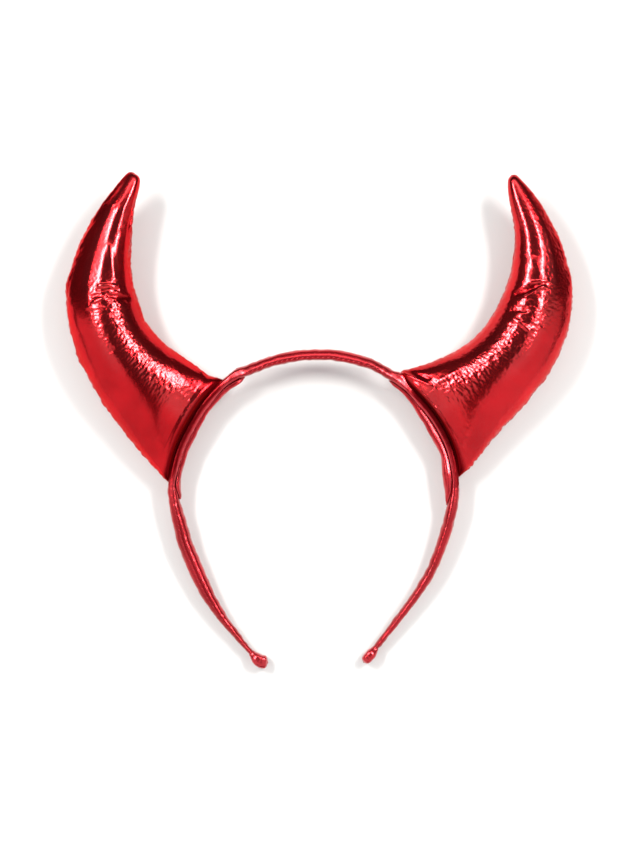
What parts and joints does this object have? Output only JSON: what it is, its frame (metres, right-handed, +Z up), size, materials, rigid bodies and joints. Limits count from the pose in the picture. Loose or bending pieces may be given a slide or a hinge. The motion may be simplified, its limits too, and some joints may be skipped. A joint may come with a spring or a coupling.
{
  "type": "devil horns headband",
  "caption": "Red costume headband: a narrow cloth-sleeved arch with a stuffed, curved, pointed metallic cloth horn on each side, lying on its back.",
  "frame": {"origin": "middle of the bounding box's underside, on the floor that the part lies on", "axes": "+X to the wearer's left side as seen from the front (right in the front view), +Y from the ends of the band towards the tips of the horns, +Z up from the floor, towards the viewer of the front"},
  "size_m": [0.228, 0.2228, 0.0282],
  "materials": {
    "band_in_sleeve": "satin",
    "horn_cloth": "satin",
    "wrap_cloth": "satin",
    "end_cloth": "satin"
  },
  "bodies": {
    "root": {"band": "band_in_sleeve", "horn_left": "horn_cloth", "horn_right": "horn_cloth", "base_wrap_left": "wrap_cloth", "base_wrap_right": "wrap_cloth", "end_fold_left": "end_cloth", "end_fold_right": "end_cloth"}
  },
  "joints": []
}
